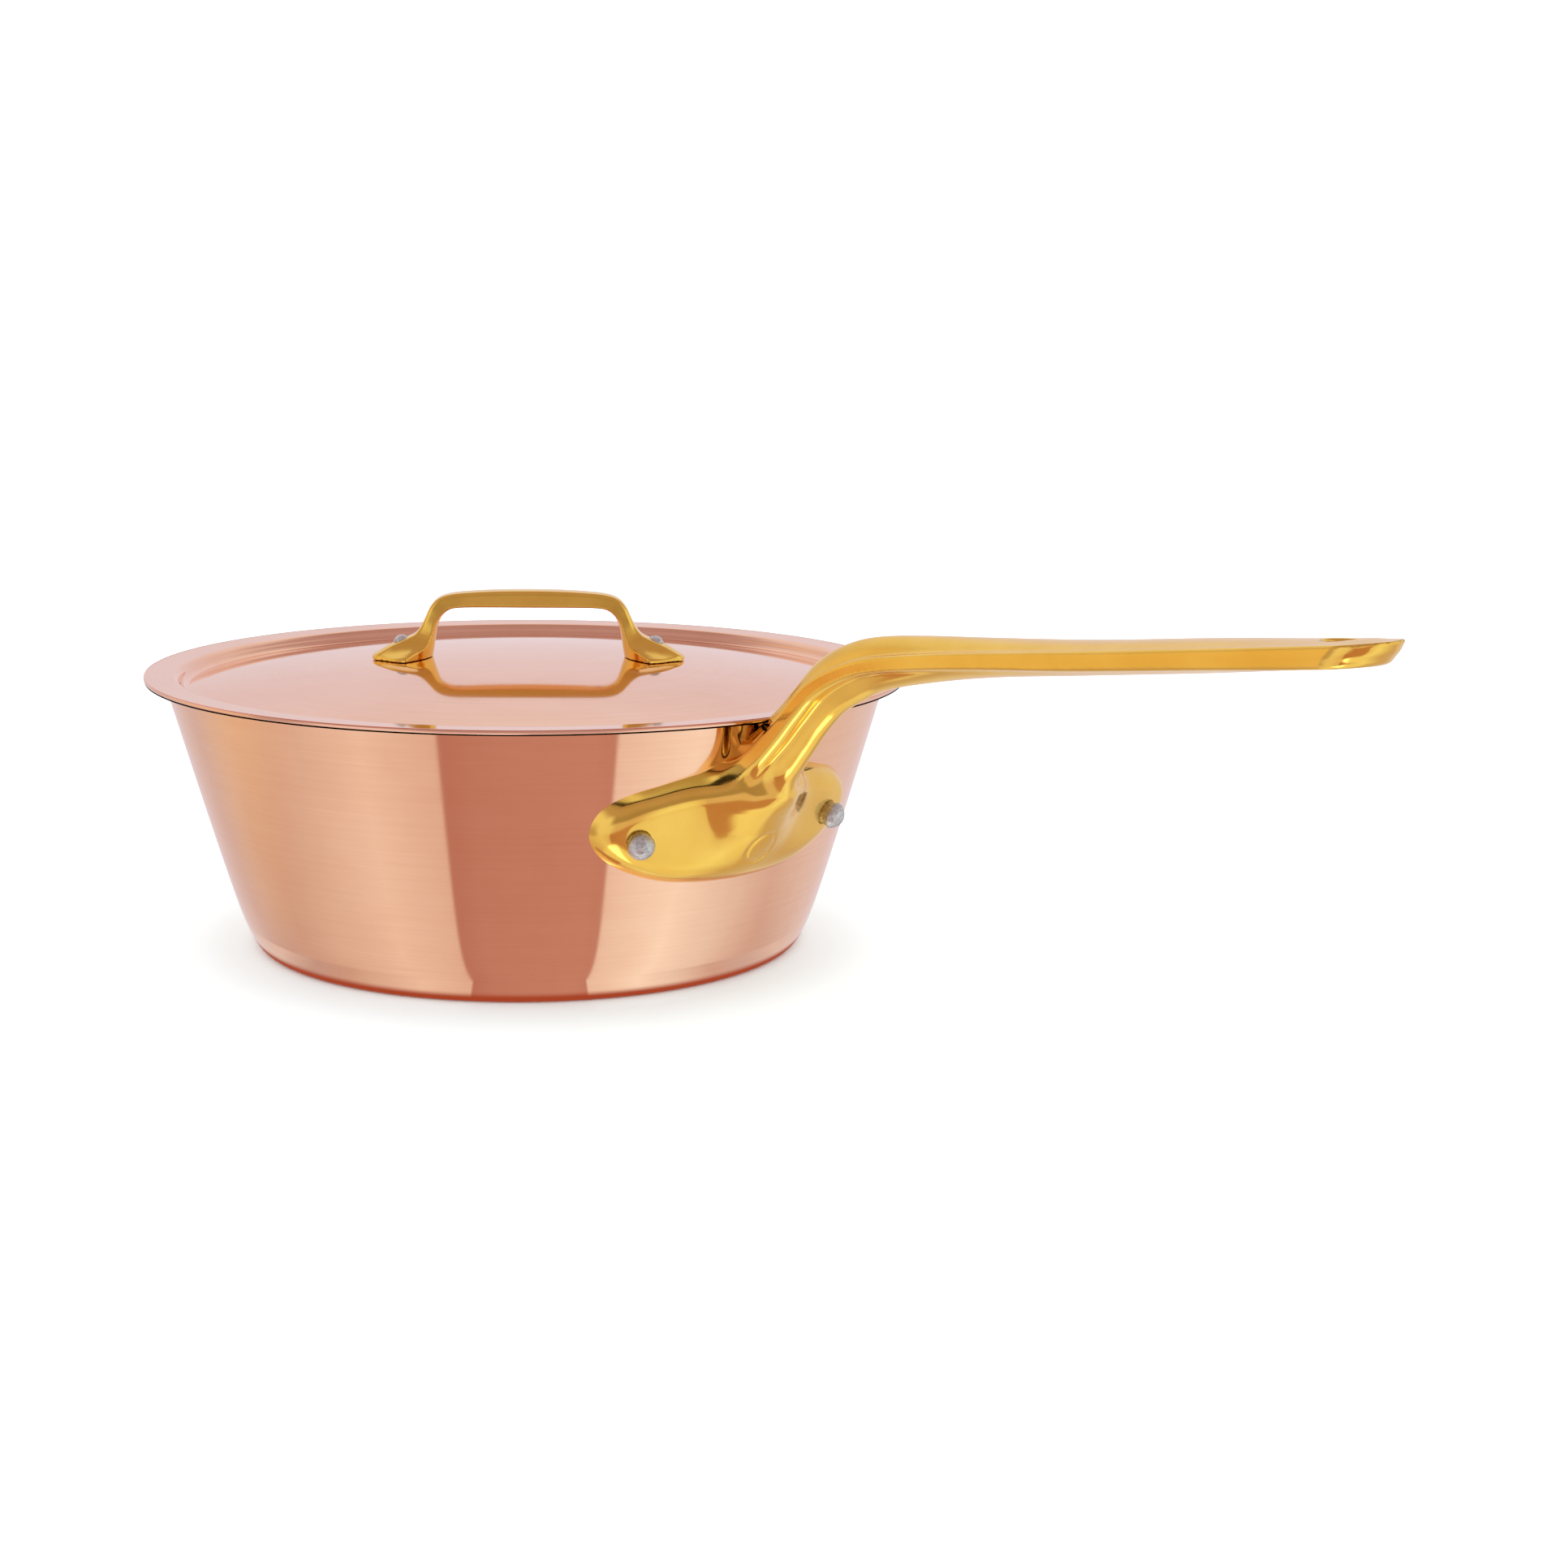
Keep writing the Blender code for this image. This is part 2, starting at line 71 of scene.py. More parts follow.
# ---- pan, mm ----
FLARE = 0.2847                                # outward run of the wall for each unit of height
CONE_RADIUS = RIM_RADIUS - FLARE * RIM_HEIGHT
BASE_RADIUS = CONE_RADIUS - 4.5               # flat part of the base
CORNER_TOP = 57.8                             # height where the round corner runs out into the straight wall
CORNER_WEIGHT = 2.09                          # pull of the corner's conic towards the wall's foot
COPPER = 1.9
LINING = 0.4
RIM_RING = 0.12                               # a close ring under the rim keeps its edge crisp
EDGE_EASE = 0.3                               # rise of the rim's eased edge, share of half its thickness
SKIN_GAP = 0.02                               # between bonded layers

# ---- lid, mm ----
DOME_RISE = 4.1                               # centre of the lid above its flat edge
LID_TOP = DOME_TOP - DOME_RISE
LID_COPPER = 0.9
LID_LINING = 0.2
LID_CLEARANCE = 0.35                          # between the lid's edge and the pan's casting
LID_FLAT_INNER = LID_RADIUS - 7.5             # the flat edge runs from here to the lid's edge
STEEL_INSET = 2.4                             # the lid's lining ends this far inside its edge
EDGE_LIFT = 0.3                               # the flat edge rises this much outwards
BEND = 2.4                                    # radius of both bends of the pressed step
BEND_TURN = math.radians(72)
FOOT_RADIUS = LID_FLAT_INNER - 2 * BEND * math.sin(BEND_TURN)        # where the dome meets the step
FOOT_HEIGHT = LID_TOP - 2 * BEND * (1 - math.cos(BEND_TURN))
BAIL_TURN = math.radians(52.3)                # lid and bail turned from the long handle

# ---- rivets, mm ----
HANDLE_RIVET_ANGLE = math.radians(19.4)
HANDLE_RIVET_HEIGHT = 46.4
LID_RIVET_REACH = 35.3                        # from the lid's centre along the bail
# Radii of the shank and heads, rises of the heads, and heights of their undersides over the metal.
HANDLE_RIVET = dict(shank=3.2, head=3.6, rise=2.75, seat=5.8,
                    inner_head=4.4, inner_rise=1.5, inner_seat=-(COPPER + LINING))
LID_RIVET = dict(shank=1.6, head=2.4, rise=1.8, seat=4.4,
                 inner_head=2.6, inner_rise=1.0, inner_seat=-(LID_COPPER + LID_LINING))
HANDLE_DENT = 0.16                            # depth of the hammer dents
LID_DENT = 0.1

# ---- camera ----
CAMERA_AZIMUTH = math.radians(54.11)
CAMERA_REACH = 738.5 * MM
CAMERA_HEIGHT = 184.65 * MM
CAMERA_YAW = -0.09772
CAMERA_PITCH = -0.18911
CAMERA_ROLL = -0.01265
LENS = 60.64                                  # mm, for a 36 mm sensor

# ---- studio seen by the metal: degrees round from the camera, colour ----
WHITE_LEVEL = 1.95                            # what everything but a mirrored ray sees
TABLE = (
    (-179.0, (0.80, 0.72, 0.72)), (-140.0, (0.60, 0.47, 0.48)), (-112.0, (0.68, 0.52, 0.48)),
    (-62.0, (0.93, 0.83, 0.80)), (-33.4, (0.81, 0.66, 0.61)), (-32.9, (0.53, 0.26, 0.22)),
    (-22.0, (0.57, 0.30, 0.255)), (24.0, (0.60, 0.33, 0.28)), (31.4, (0.58, 0.31, 0.26)),
    (31.9, (0.90, 0.80, 0.77)), (40.0, (0.94, 0.87, 0.85)), (62.0, (1.06, 1.08, 1.08)),
    (84.0, (0.90, 0.86, 0.86)), (112.0, (0.70, 0.55, 0.53)), (140.0, (0.68, 0.58, 0.60)),
    (179.0, (0.80, 0.72, 0.72)),
)
WALLS = (
    (-179.0, (0.83, 0.74, 0.78)), (-140.0, (0.72, 0.62, 0.64)), (-110.0, (0.90, 0.72, 0.52)),
    (-89.0, (0.90, 0.68, 0.46)), (-86.0, (0.56, 0.44, 0.42)), (-74.0, (0.60, 0.48, 0.45)),
    (-62.0, (0.95, 0.88, 0.88)), (-34.0, (0.90, 0.85, 0.85)), (-20.0, (0.79, 0.62, 0.66)),
    (22.0, (0.79, 0.62, 0.66)), (36.0, (1.05, 1.05, 1.00)),
    (100.0, (0.85, 0.78, 0.74)), (150.0, (0.80, 0.71, 0.74)), (179.0, (0.83, 0.74, 0.78)),
)
UNDER = (
    (-179.0, (0.90, 0.84, 0.78)), (-66.0, (1.00, 0.93, 0.86)), (-52.0, (2.6, 2.6, 2.6)),
    (-16.0, (2.6, 2.6, 2.6)), (2.0, (1.05, 1.00, 0.92)), (179.0, (0.90, 0.84, 0.78)),
)
CEILING = (
    (-179.0, (0.90, 0.84, 0.82)), (-130.0, (0.85, 0.78, 0.76)), (-95.0, (0.54, 0.39, 0.38)),
    (110.0, (0.54, 0.39, 0.38)), (145.0, (0.85, 0.78, 0.76)), (179.0, (0.90, 0.84, 0.82)),
)
CONTACT_SHADE = (0.42, 0.09, 0.045)                 # painted contact shadow: the table right under the pan's edge, as reflections see it
CARD_GAIN = 2.8                               # degrees of TABLE for each degree round the card
ZENITH = (0.50, 0.345, 0.33)
FRONT = (0.44, 0.33, 0.30)                    # dim place where the camera stands
TABLE_FROM = (-68.0, -60.0)                   # elevations over which each zone turns into the next
WALLS_FROM = (-34.0, -22.0)
CEILING_FROM = (14.0, 34.0)
ZENITH_FROM = (40.0, 56.0)
FRONT_FROM = (-6.0, 6.0)
FRONT_HALF = (28.0, 44.0)                     # it ends between these angles to either side
FLOOR_DROP = 0.05                             # the floor and the card lie just under the base, mm
CARD_DROP = 0.02


# ------------------------------------------------------------------ helpers

def add_object(name, data):
    thing = bpy.data.objects.new(name, data)
    bpy.context.scene.collection.objects.link(thing)
    return thing


def add_piece(mesh, material, body, replaced):
    """A visible piece named like its mesh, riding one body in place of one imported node."""
    mesh.materials.append(material)
    piece = add_object(mesh.name, mesh)
    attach(piece, body)
    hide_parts(replaced)


def turned_mesh(name, profile, segments=TURNED_SEGMENTS):
    """Closed surface of revolution from (radius, height) points in mm, axis to axis."""
    builder = bmesh.new()
    rings = []
    for radius, height in profile:
        if radius < 1e-6:
            rings.append([builder.verts.new((0.0, 0.0, height * MM))])
            continue
        ring = []
        for step in range(segments):
            angle = math.tau * step / segments
            place = (radius * math.cos(angle) * MM, radius * math.sin(angle) * MM, height * MM)
            ring.append(builder.verts.new(place))
        rings.append(ring)
    for near, far in zip(rings, rings[1:]):
        for step in range(segments):
            after = (step + 1) % segments
            if len(near) == 1:
                builder.faces.new((near[0], far[step], far[after]))
            elif len(far) == 1:
                builder.faces.new((near[step], far[0], near[after]))
            else:
                builder.faces.new((near[step], far[step], far[after], near[after]))
    bmesh.ops.recalc_face_normals(builder, faces=builder.faces)
    mesh = bpy.data.meshes.new(name)
    builder.to_mesh(mesh)
    builder.free()
    mesh.shade_smooth()
    mesh.set_sharp_from_angle(angle=SHARP_ANGLE)
    return mesh


def arc(centre, radius, start, end, steps):
    points = []
    for step in range(steps + 1):
        angle = start + (end - start) * step / steps
        across = centre[0] + radius * math.cos(angle)
        points.append(Vector((across, centre[1] + radius * math.sin(angle))))
    return points


def inset(points, distance):
    """Move an open outline sideways, to the right of its direction of travel."""
    moved = []
    for i, point in enumerate(points):
        before = points[max(i - 1, 0)]
        after = points[min(i + 1, len(points) - 1)]
        incoming = (point - before).normalized() if i else (after - point).normalized()
        outgoing = (after - point).normalized() if i < len(points) - 1 else incoming
        middle = (incoming + outgoing).normalized()
        sideways = Vector((middle.y, -middle.x))
        moved.append(point + sideways * distance / max(middle.dot(incoming), 0.5))
    return moved


def round_over(outer, inner, share, steps=8):
    """Eased edge that joins the first points of two outlines, from inner to outer."""
    middle = (outer + inner) / 2
    reach = (outer - inner) / 2
    rise = Vector((-reach.y, reach.x)) * share
    if rise.y < 0:
        rise = -rise
    return [middle - reach * math.cos(math.pi * step / steps) + rise * math.sin(math.pi * step / steps)
            for step in range(steps + 1)]


# ------------------------------------------------------------------ pan and lid shells

def wall_radius(height):
    return CONE_RADIUS + FLARE * height


def pan_outline(top, corner_steps=40, wall_steps=6):
    """Outer surface of the pan from the rim down to the centre of the base."""
    start = Vector((BASE_RADIUS, 0.0))
    pull = Vector((CONE_RADIUS, 0.0))
    end = Vector((wall_radius(CORNER_TOP), CORNER_TOP))
    corner = []
    for step in range(corner_steps + 1):
        t = step / corner_steps
        weights = ((1 - t) ** 2, 2 * CORNER_WEIGHT * t * (1 - t), t ** 2)
        corner.append((start * weights[0] + pull * weights[1] + end * weights[2]) / sum(weights))
    corner.reverse()
    wall = [Vector((wall_radius(top), top))]
    for step in range(wall_steps):
        height = top - RIM_RING + (CORNER_TOP - top) * step / wall_steps
        wall.append(Vector((wall_radius(height), height)))
    base = [Vector((BASE_RADIUS * share, 0.0)) for share in (0.75, 0.5, 0.25)]
    return wall + corner + base + [Vector((0.0, 0.0))]


def layer(outline, depth_outer, depth_inner):
    """Closed profile of a bonded layer, with a softly eased free edge."""
    outer = inset(outline, depth_outer)
    inner = inset(outline, depth_inner)
    outer[-1] = Vector((0.0, outer[-1].y))
    inner[-1] = Vector((0.0, inner[-1].y))
    return list(reversed(inner[1:])) + round_over(outer[0], inner[0], EDGE_EASE) + outer[1:]


def lid_outline(lift, dome_steps=24, bend_steps=10):
    """Top surface of the lid from its centre out to its edge, which rises by the given lift."""
    points = []
    for step in range(dome_steps):
        radius = FOOT_RADIUS * step / dome_steps
        points.append(Vector((radius, plate_height(radius))))
    points += arc((FOOT_RADIUS, FOOT_HEIGHT + BEND), BEND, -QUARTER, -QUARTER + BEND_TURN, bend_steps)
    points += arc((LID_FLAT_INNER, LID_TOP - BEND), BEND, QUARTER + BEND_TURN, QUARTER, bend_steps)[1:]
    flat_width = LID_RADIUS - LID_FLAT_INNER
    for share in (0.03, 0.5, 0.97, 1.0):
        points.append(Vector((LID_FLAT_INNER + flat_width * share, LID_TOP + lift * share)))
    return points


def plate_height(radius):
    """Height of the lid's top surface over its dome, mm."""
    return DOME_TOP - (DOME_TOP - FOOT_HEIGHT) * (radius / FOOT_RADIUS) ** 2


def lid_layer(depth_top, depth_bottom, lift, edge_inset):
    """Closed profile of one of the lid's layers; only its top face follows the lifted edge."""
    top = inset(lid_outline(lift), depth_top)
    bottom = inset(lid_outline(0.0), depth_bottom)
    top[0] = Vector((0.0, top[0].y))
    bottom[0] = Vector((0.0, bottom[0].y))
    half = (top[-1].y - bottom[-1].y) / 2
    top[-1] = top[-1] - Vector((half + edge_inset, 0.0))
    bottom[-1] = bottom[-1] - Vector((half + edge_inset, 0.0))
    middle = (top[-1] + bottom[-1]) / 2
    edge = arc(middle, half, QUARTER, -QUARTER, 6)[1:-1]
    return top + edge + list(reversed(bottom))


# ------------------------------------------------------------------ field mesher

def smooth_min(a, b, width):
    blend = np.clip(0.5 + 0.5 * (b - a) / width, 0.0, 1.0)
    return b + (a - b) * blend - width * blend * (1.0 - blend)


def smooth_max(a, b, width):
    return -smooth_min(-a, -b, width)


def slope_at(field, points, nudge, here=None):
    """Direction in which the field rises, from its change over a short distance along each axis."""
    if here is None:
        here = field(*points.T)
    return np.stack([field(*(points + nudge * axis).T) - here for axis in np.eye(3)], axis=1) / nudge


def mesh_from_field(name, field, low, high, step):
    """Surface-net mesh of field(x, y, z) = 0, then each vertex is moved onto the surface."""
    axes = [np.arange(low[i], high[i] + step, step) for i in range(3)]
    grid = np.meshgrid(*axes, indexing="ij", sparse=True)
    values = field(*grid)
    inside = values < 0.0
    shape = [n - 1 for n in values.shape]
    total = np.zeros(shape)
    sums = [np.zeros(shape) for _ in range(3)]
    corners = [(i, j, k) for i in (0, 1) for j in (0, 1) for k in (0, 1)]

    def at(array, corner):
        return array[tuple(slice(c, c + n) for c, n in zip(corner, shape))]

    # Each cell that the surface crosses gets one vertex, at the mean of the crossings on its edges.
    for a in corners:
        for axis in range(3):
            if a[axis]:
                continue
            b = tuple(c + (i == axis) for i, c in enumerate(a))
            va, vb = at(values, a), at(values, b)
            crossing = at(inside, a) != at(inside, b)
            share = np.where(crossing, va / np.where(crossing, va - vb, 1.0), 0.0)
            total += crossing
            for i in range(3):
                place = a[i] + (share if i == axis else 0.0)
                sums[i] += np.where(crossing, place, 0.0)
    used = total > 0
    index = np.full(shape, -1, dtype=np.int64)
    index[used] = np.arange(used.sum())
    cells = np.argwhere(used)
    points = np.empty((len(cells), 3))
    for i in range(3):
        points[:, i] = axes[i][0] + (cells[:, i] + sums[i][used] / total[used]) * step
    # Each grid line that crosses the surface gets one face, between the four cells round it.
    faces = []
    for axis in range(3):
        u, v = (axis + 1) % 3, (axis + 2) % 3
        a = inside[tuple(slice(1 if i != axis else 0, -1) for i in range(3))]
        b = inside[tuple(slice(1, -1) if i != axis else slice(1, None) for i in range(3))]
        starts = np.argwhere(a != b)
        entering = a[tuple(starts.T)]
        quads = []
        for du, dv in ((0, 0), (1, 0), (1, 1), (0, 1)):
            cell = starts.copy()
            cell[:, u] += du
            cell[:, v] += dv
            quads.append(index[tuple(cell.T)])
        quads = np.stack(quads, axis=1)
        quads[~entering] = quads[~entering][:, ::-1]
        faces.append(quads)
    faces = np.concatenate(faces)
    for _ in range(2):
        here = field(*points.T)
        slope = slope_at(field, points, 0.1 * step, here)
        size = np.maximum((slope ** 2).sum(1), 0.05)
        points += slope * np.clip(-here / size, -0.5 * step, 0.5 * step)[:, None]
    reach = 0.5 * step
    slope = slope_at(field, points, reach) + slope_at(field, points, -reach)
    mesh = bpy.data.meshes.new(name)
    mesh.from_pydata((points * MM).tolist(), [], faces.tolist())
    mesh.shade_smooth()
    normals = slope / np.sqrt((slope ** 2).sum(1))[:, None]
    mesh.normals_split_custom_set_from_vertices(normals.tolist())
    return mesh


def smooth_curve(points, samples):
    """Catmull-Rom curve through points of any dimension, as an array of samples."""
    control = np.array(points, dtype=float)
    control = np.vstack([2 * control[0] - control[1], control, 2 * control[-1] - control[-2]])
    spans = len(control) - 3
    t = np.linspace(0, spans, samples)
    span = np.minimum(t.astype(int), spans - 1)
    f = (t - span)[:, None]
    p0, p1, p2, p3 = (control[span + k] for k in range(4))
    return 0.5 * (2 * p1 + (p2 - p0) * f + (2 * p0 - 5 * p1 + 4 * p2 - p3) * f ** 2
                  + (3 * p1 - p0 - 3 * p2 + p3) * f ** 3)


def nearest_on_line(line, x, z):
    """Place along a polyline in XZ (as a sample number) and the distance to its right."""
    shape = np.broadcast(x, z).shape
    px = np.broadcast_to(x, shape).reshape(-1)
    pz = np.broadcast_to(z, shape).reshape(-1)
    place = np.empty(px.shape)
    offset = np.empty(px.shape)
    starts, steps = line[:-1, :2], np.diff(line[:, :2], axis=0)
    lengths = (steps ** 2).sum(1)
    for first in range(0, len(px), CHUNK):
        part = slice(first, first + CHUNK)
        dx = px[part, None] - starts[None, :, 0]
        dz = pz[part, None] - starts[None, :, 1]
        share = (dx * steps[:, 0] + dz * steps[:, 1]) / lengths
        held = np.clip(share, 0.0, 1.0)
        gap = (dx - held * steps[:, 0]) ** 2 + (dz - held * steps[:, 1]) ** 2
        best = gap.argmin(1)
        rows = np.arange(len(best))
        place[part] = best + held[rows, best]
        side = steps[best, 1] * dx[rows, best] - steps[best, 0] * dz[rows, best]
        offset[part] = np.sign(side) * np.sqrt(gap[rows, best])
    return place.reshape(shape), offset.reshape(shape)


def along(line, place, column):
    return np.interp(place, np.arange(len(line)), line[:, column])


def rounded_box(across, half_across, down, height, top_radius, bottom_radius):
    """Distance to a box |across| <= half_across, 0 <= down <= height, with rounded edges."""
    radius = top_radius + (bottom_radius - top_radius) * np.clip(down / height, 0.0, 1.0)
    u = np.abs(across) - half_across + radius
    v = np.abs(down - height / 2) - height / 2 + radius
    return np.hypot(np.maximum(u, 0), np.maximum(v, 0)) + np.minimum(np.maximum(u, v), 0) - radius


def ellipse(across, down, half_across, half_down):
    """Near distance to an ellipse about the origin."""
    reach = np.hypot(across / half_across, down / half_down)
    slope = np.hypot(across / half_across ** 2, down / half_down ** 2)
    return reach * (reach - 1.0) / np.maximum(slope, 1e-6)


# ------------------------------------------------------------------ rivets

def hammered(mesh, seat, depth, seed):
    """Knock shallow dents into a turned rivet, towards the middle of its outer head's underside."""
    centre = Vector((0.0, 0.0, seat))
    for vertex in mesh.vertices:
        away = vertex.co / MM - centre
        if away.length < 1e-6:
            continue
        around = away.normalized()
        dent = 0.0
        for scale, share in ((1.1, 0.6), (2.3, 0.3), (5.0, 0.1)):
            dent += share * noise.noise(around * scale * 2.0 + Vector((seed, 0.0, 0.0)))
        for number in range(5):
            spot = Vector((math.cos(seed * 7.3 + number * 2.4),
                           math.sin(seed * 5.1 + number * 2.4),
                           0.6 + 0.4 * (number % 3)))
            close = max(around.dot(spot.normalized()) - 0.93, 0.0) / 0.07
            dent -= 0.55 * close
        vertex.co -= around * (max(-dent, 0.0) * depth) * MM


def rivet_mesh(name, shank, head, rise, seat, inner_head, inner_rise, inner_seat):
    """Rivet along +Z with its outer head at the top; heights are measured from the metal's face."""

    def dome(radius, height, base, steps):
        sphere = (radius ** 2 + height ** 2) / (2 * height)
        low = math.asin(min((sphere - height) / sphere, 1.0))
        return [(sphere * math.cos(low + (QUARTER - low) * i / steps),
                 base - (sphere - height) + sphere * math.sin(low + (QUARTER - low) * i / steps))
                for i in range(steps + 1)]

    outer = dome(head, rise, seat + 0.25, 12)
    inner = dome(inner_head, inner_rise, inner_seat, 8)
    inner = [(radius, 2 * inner_seat - height) for radius, height in inner]
    profile = list(reversed(inner)) + [(shank, inner_seat), (shank, seat - 0.3), (shank + 0.1, seat)]
    profile += [(head - 0.08, seat), (head, seat + 0.1)] + outer
    profile[0] = (0.0, profile[0][1])
    profile[-1] = (0.0, profile[-1][1])
    return turned_mesh(name, profile, RIVET_SEGMENTS)


def make_rivets(steel):
    lean = math.atan(FLARE)
    sides = (("pan_rivet_near", "handle_rivet_right", -1), ("pan_rivet_far", "handle_rivet_left", 1))
    for name, node, turn in sides:
        mesh = rivet_mesh(name, **HANDLE_RIVET)
        hammered(mesh, HANDLE_RIVET["seat"], HANDLE_DENT, 1.0 + turn * 0.5)
        angle = turn * HANDLE_RIVET_ANGLE
        radius = wall_radius(HANDLE_RIVET_HEIGHT)
        spot = Vector((radius * math.cos(angle), radius * math.sin(angle), HANDLE_RIVET_HEIGHT)) * MM
        mesh.transform(Matrix.Translation(spot) @ Matrix.Rotation(angle, 4, "Z")
                       @ Matrix.Rotation(QUARTER + lean, 4, "Y"))
        add_piece(mesh, steel, "pan", node)
    sides = (("lid_rivet_a", "lid_rivet_left", 1), ("lid_rivet_b", "lid_rivet_right", -1))
    for name, node, turn in sides:
        mesh = rivet_mesh(name, **LID_RIVET)
        hammered(mesh, LID_RIVET["seat"], LID_DENT, 4.0 + turn)
        along_bail = turn * LID_RIVET_REACH
        spot = Vector((along_bail * math.cos(BAIL_TURN), along_bail * math.sin(BAIL_TURN),
                       plate_height(LID_RIVET_REACH))) * MM
        mesh.transform(Matrix.Translation(spot) @ Matrix.Rotation(BAIL_TURN, 4, "Z"))
        add_piece(mesh, steel, "lid", node)


# ------------------------------------------------------------------ pan handle

GRIP_HALF_WIDTH = 9.4
TIP_UNDERCUT = 0.72                           # the tip's end leans back this much for each mm of depth
HANG_HOLE = (GRIP_END - 13.0, 4.0)            # place along X and radius, mm

# Top line from inside the flange to the tip: x, z, half-width, depth of the sides, rounding of
# their lower edges, half-width of the rib, whole depth. All in mm.
GRIP_STATIONS = (
    (93.2, 48.0, 6.5, 2.0, 0.9, 5.0, 5.0),
    (95.2, 55.0, 8.4, 4.8, 2.0, 7.4, 8.0),
    (98.4, 61.8, 8.8, 5.8, 2.4, 6.8, 10.4),
    (102.4, 67.0, 8.5, 5.8, 2.5, 5.9, 11.0),
    (106.8, 71.2, 8.2, 5.6, 2.5, 5.1, 10.8),
    (111.4, 75.6, 8.0, 5.4, 2.4, 4.6, 10.1),
    (117.2, 81.6, 7.9, 5.2, 2.1, 4.4, 9.6),
    (124.4, 88.0, 7.8, 4.8, 1.7, 4.3, 9.5),
    (133.2, 92.6, 7.8, 4.3, 1.2, 4.3, 9.2),
    (143.5, 96.0, 7.9, 3.9, 0.9, 4.4, 8.3),
    (160.0, 98.9, 8.2, 3.8, 0.8, 5.2, 7.3),
    (181.0, 101.8, 8.5, 4.0, 0.8, 6.8, 6.4),
    (211.0, 105.4, 8.9, 4.3, 0.8, 8.7, 5.9),
    (247.0, 110.1, 9.2, 4.5, 0.8, 9.2, 5.7),
    (270.0, 113.2, 9.4, 4.8, 0.9, 9.4, 5.3),
    (291.0, 116.0, 9.4, 5.0, 1.0, 9.4, 5.0),
)
grip_line = smooth_curve(GRIP_STATIONS, 480)

# Edge of one flange lobe seen along the handle, mm: (across, up).
FLANGE_HALF = (
    (0.0, 31.4), (10.0, 31.8), (20.0, 33.0), (28.0, 35.4), (34.5, 38.6), (39.0, 42.4),
    (41.3, 46.6), (41.2, 51.0), (38.8, 54.8), (33.6, 57.6), (26.6, 59.5), (18.8, 61.4),
    (11.6, 62.8), (0.0, 64.2),
)


def closed_distance(outline, across, up):
    """Signed distance, negative inside, from points to a closed outline in one plane."""
    shape = np.broadcast(across, up).shape
    px = np.broadcast_to(across, shape).reshape(-1)
    pz = np.broadcast_to(up, shape).reshape(-1)
    out = np.empty(px.shape)
    starts = outline
    ends = np.roll(outline, -1, axis=0)
    steps = ends - starts
    lengths = (steps ** 2).sum(1)
    for first in range(0, len(px), CHUNK):
        part = slice(first, first + CHUNK)
        dx = px[part, None] - starts[None, :, 0]
        dz = pz[part, None] - starts[None, :, 1]
        held = np.clip((dx * steps[:, 0] + dz * steps[:, 1]) / lengths, 0.0, 1.0)
        gap = np.sqrt(((dx - held * steps[:, 0]) ** 2 + (dz - held * steps[:, 1]) ** 2).min(1))
        straddles = (starts[:, 1] <= pz[part, None]) != (ends[:, 1] <= pz[part, None])
        cross_x = starts[:, 0] + (pz[part, None] - starts[:, 1]) * steps[:, 0] / np.where(
            steps[:, 1] == 0, 1e-9, steps[:, 1])
        inside = (straddles & (px[part, None] < cross_x)).sum(1) % 2 == 1
        out[part] = np.where(inside, -gap, gap)
    return out.reshape(shape)


half_line = smooth_curve(FLANGE_HALF, 90)
flange_line = np.vstack([half_line, half_line[-2:0:-1] * (-1, 1)])


def grip_field(x, y, z):
    """Flat-topped plate with a rounded rib under it, swept along the grip's top line."""
    place, depth = nearest_on_line(grip_line, x, z)
    half, side, rounding, rib, whole = (along(grip_line, place, column) for column in range(2, 7))
    tip_centre = GRIP_END - GRIP_HALF_WIDTH - TIP_UNDERCUT * depth
    across = np.hypot(np.maximum(x - tip_centre, 0.0), y)
    plate = rounded_box(across, half, depth, side, 0.8, rounding)
    rib_centre = 0.45 * side
    under = ellipse(across, depth - rib_centre, rib, whole - rib_centre)
    grip = smooth_min(plate, under, 1.0)
    return smooth_max(grip, HANG_HOLE[1] - np.hypot(x - HANG_HOLE[0], y), 0.8)


# Flange; lengths in mm.
FLANGE_DEPTH = 4.6                            # how far its face stands off the wall
FLANGE_FOOT = 31.0                            # height where the central ridge starts
FLANGE_TOP = 63.9
FLANGE_BACK = 1.2                             # the casting reaches this far into the wall
UPPER_FROM = (46.0, 54.0)                     # heights between which the edge turns into a bevel
EDGE_LEAN = (0.25, 0.70)                      # lean of the edge below and above
EDGE_ROUNDING = (4.6, 2.8)                    # rounding of the edge below and above
CREST_DROP = 6.2                              # crest below the top edge
CREST_SAG = 0.0057                            # drop of the crest for each square mm across
CREST_LIFT = (0.2, 2.2)                       # everywhere, and added at the middle
CREST_SPREAD = 16.0
CREST_WIDTH = (7.5, 4.4)                      # below and above the crest
RIDGE_RISE = (0.27, 0.0045)                   # for each mm up, and for each square mm up
RIDGE_WIDTH = (15.5, 0.14)                    # at its foot, and how much it narrows for each mm up
BADGE_SPOT = (0.9, 41.4)                      # plain sunken disc: across, up
BADGE_RADIUS = 4.2
BADGE_GROOVE = 0.28
BADGE_DEPTH = 0.10
NECK_BLEND = 9.0                              # width of the blend between flange and grip

# Web that fills the corner between the flange and the underside of the neck, mm.
WEB_HALF_WIDTH = 5.0
WEB_HEIGHTS = (55.0, 68.5)
WEB_REACH = 103.0


def off_wall(x, y, z):
    """Distance out from the pan's wall."""
    return (np.hypot(x, y) - wall_radius(z)) / math.hypot(1.0, FLARE)


